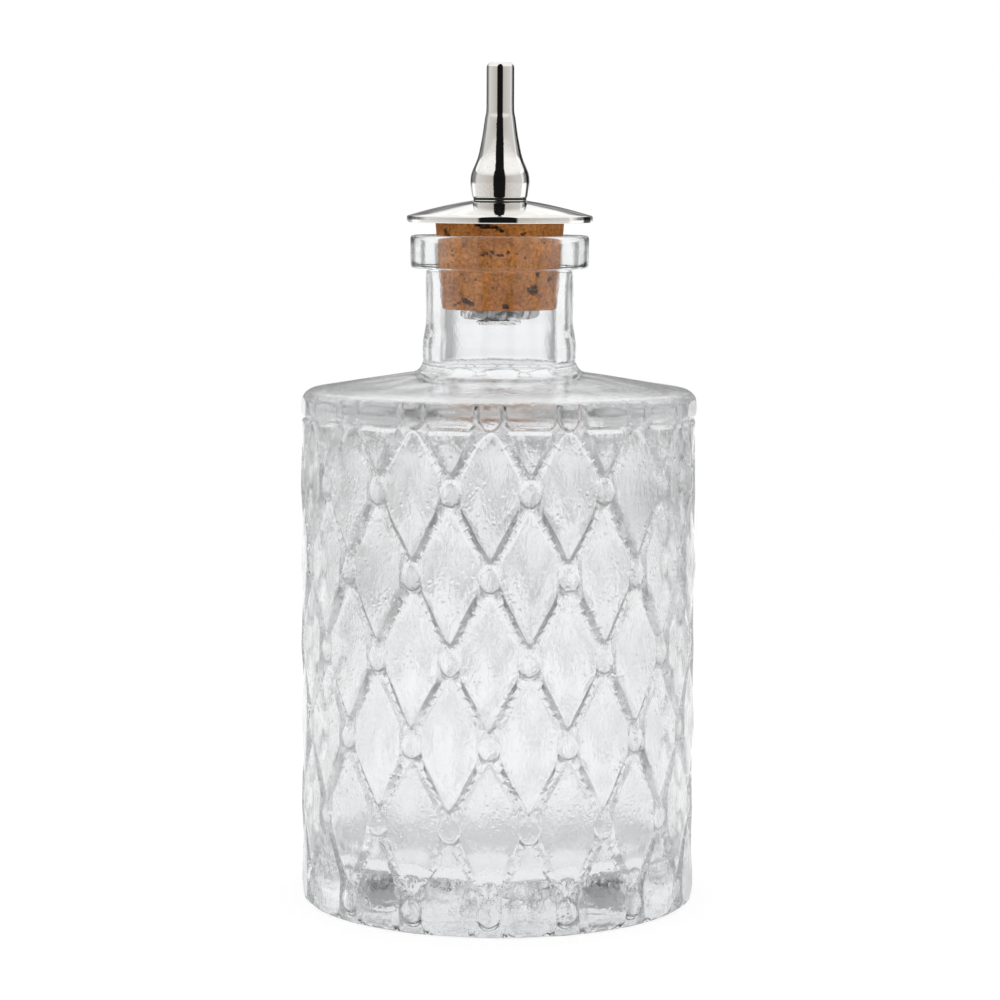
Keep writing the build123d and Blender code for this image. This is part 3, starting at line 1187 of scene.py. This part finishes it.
for vertex in tube.data.vertices:
    radius = vertex.co.xy.length / mm
    if radius < stem_bore_radius + 0.5:
        continue
    depth = 0
    if vertex.co.z / mm < thread_top:
        depth = groove(vertex.co, shaft_pitch, shaft_groove, stem_bottom, thread_top)
    elif vertex.co.z / mm > head_top:
        depth = groove(vertex.co, spigot_pitch, spigot_groove, head_top + thread_margin,
                       stem_top - thread_margin)
    vertex.co.xy *= 1 - depth / radius
bpy.ops.object.shade_smooth_by_angle(angle=math.radians(40))
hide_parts("stem")
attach(tube, "stopper")
print(f"tube: {len(tube.data.polygons)} faces, threads of {shaft_pitch} and {spigot_pitch} mm")

# %% [markdown]
# ## The covering disc
# The disc is pressed from sheet and polished. Its top isn't part of a ball: its slope is
# straighter than a ball's. The head of the tube sits in a pocket in it, so that the spout seems
# to stand right on the dome. It is one closed profile, spun as above.

# %% Spin the disc
disc_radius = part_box("disc")[1].x / mm
disc_edge = 1.15
dome_rise = 3.0
dome_power = 1.6
dome_steps = 36
disc_step = 2.0
pocket_radius = 4.85
pocket_floor_radius = 4.45


def dome_height(radius):
    """Height of the dome over its rim at a distance from the axis."""
    return cork_top + disc_edge + dome_rise * (1 - (radius / disc_radius) ** dome_power)


dome_start = disc_radius - 1
dome_line = [
    (radius, dome_height(radius)) for radius in (
        dome_start + (pocket_radius - dome_start) * step / dome_steps
        for step in range(dome_steps + 1))
]
disc_line = rounded([
    (stem_hole_radius, cork_top, 0),
    (disc_radius, cork_top, 0.15),
    (disc_radius, dome_height(disc_radius), 0.3),
    (*dome_line[0], 0),
])[:-1]
disc_line += dome_line
disc_line += [
    (pocket_floor_radius, head_bottom),
    (stem_hole_radius, head_bottom),
    (stem_hole_radius, cork_top),
]
disc = spun("covering_disc", disc_line, disc_step, closed=True)
bpy.ops.object.shade_smooth_by_angle(angle=math.radians(30))
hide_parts("disc")
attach(disc, "stopper")
print(f"disc: {len(disc.data.polygons)} faces, {dome_line[-1][1] - cork_top:.2f} mm tall")

# %% [markdown]
# ## Metal and rubber
# Disc, tube and spout are turned, polished and plated. Such metal has next to no colour, and
# what tells it from a mirror is faint: rings from the lathe, and a film from fingers. The nut
# is a bought part with a duller plating, and the seal is plain black rubber.


# %% Finishes of the metal
def make_plated(name, colour, low, high, ring_bump):
    """Turned and plated metal: roughness wanders between two values, rings go round the axis."""
    material, tree, shader = principled(name, Base_Color=(*colour, 1), Metallic=1.0)
    place = own_place(tree)
    rough = range_node(tree, noise_node(tree, place, 220.0, 5.0), 0.35, 0.7, low, high)
    tree.links.new(rough, shader.inputs["Roughness"])
    rings = add_node(
        tree, "ShaderNodeTexWave", {"Vector": place, "Scale": 900.0, "Distortion": 1.5},
        wave_type="RINGS", rings_direction="Z").outputs["Fac"]
    height = math_node(tree, "MULTIPLY_ADD", rings, 0.3, noise_node(tree, place, 700.0, 2.0))
    set_bump(tree, shader, height, 0.01 * mm, ring_bump)
    return material


polished = make_plated("polished plating", (0.90, 0.89, 0.87), 0.03, 0.09, 0.25)
zinc = make_plated("zinc plating", (0.74, 0.75, 0.76), 0.14, 0.30, 0.6)
tree = zinc.node_tree
# dark and light patches in the nut's plating: partly oxide, and partly painted reflection that
# stands in for the light and dark facets of the hexagon
oxide_and_reflection_patches = noise_node(tree, own_place(tree), 330.0, 4.0, Distortion=1.5)
oxide_and_reflection_tone = ramp_node(tree, oxide_and_reflection_patches, [
    (0.36, (0.05, 0.05, 0.05)), (0.47, (0.26, 0.26, 0.265)), (0.56, (0.74, 0.74, 0.75))])
tree.links.new(oxide_and_reflection_tone, tree.nodes["Principled BSDF"].inputs["Base Color"])


def make_black_rubber():
    material, tree, shader = principled("black rubber", Base_Color=(0.02, 0.02, 0.02, 1))
    grain = noise_node(tree, own_place(tree), 1800.0, 3.0)
    tree.links.new(range_node(tree, grain, 0.0, 1.0, 0.4, 0.7), shader.inputs["Roughness"])
    set_bump(tree, shader, grain, 0.02 * mm)
    return material


for piece, material in (
    (tube, polished), (disc, polished), (nodes["spout"], polished), (nodes["nut"], zinc),
    (nodes["spout_seal"], make_black_rubber()),
):
    dress(piece, material)

# %% Render settings that the glass needs
scene = bpy.context.scene
scene.view_settings.view_transform = "Standard"
scene.cycles.max_bounces = 32
scene.cycles.transmission_bounces = 32
scene.cycles.glossy_bounces = 12
scene.cycles.transparent_max_bounces = 32
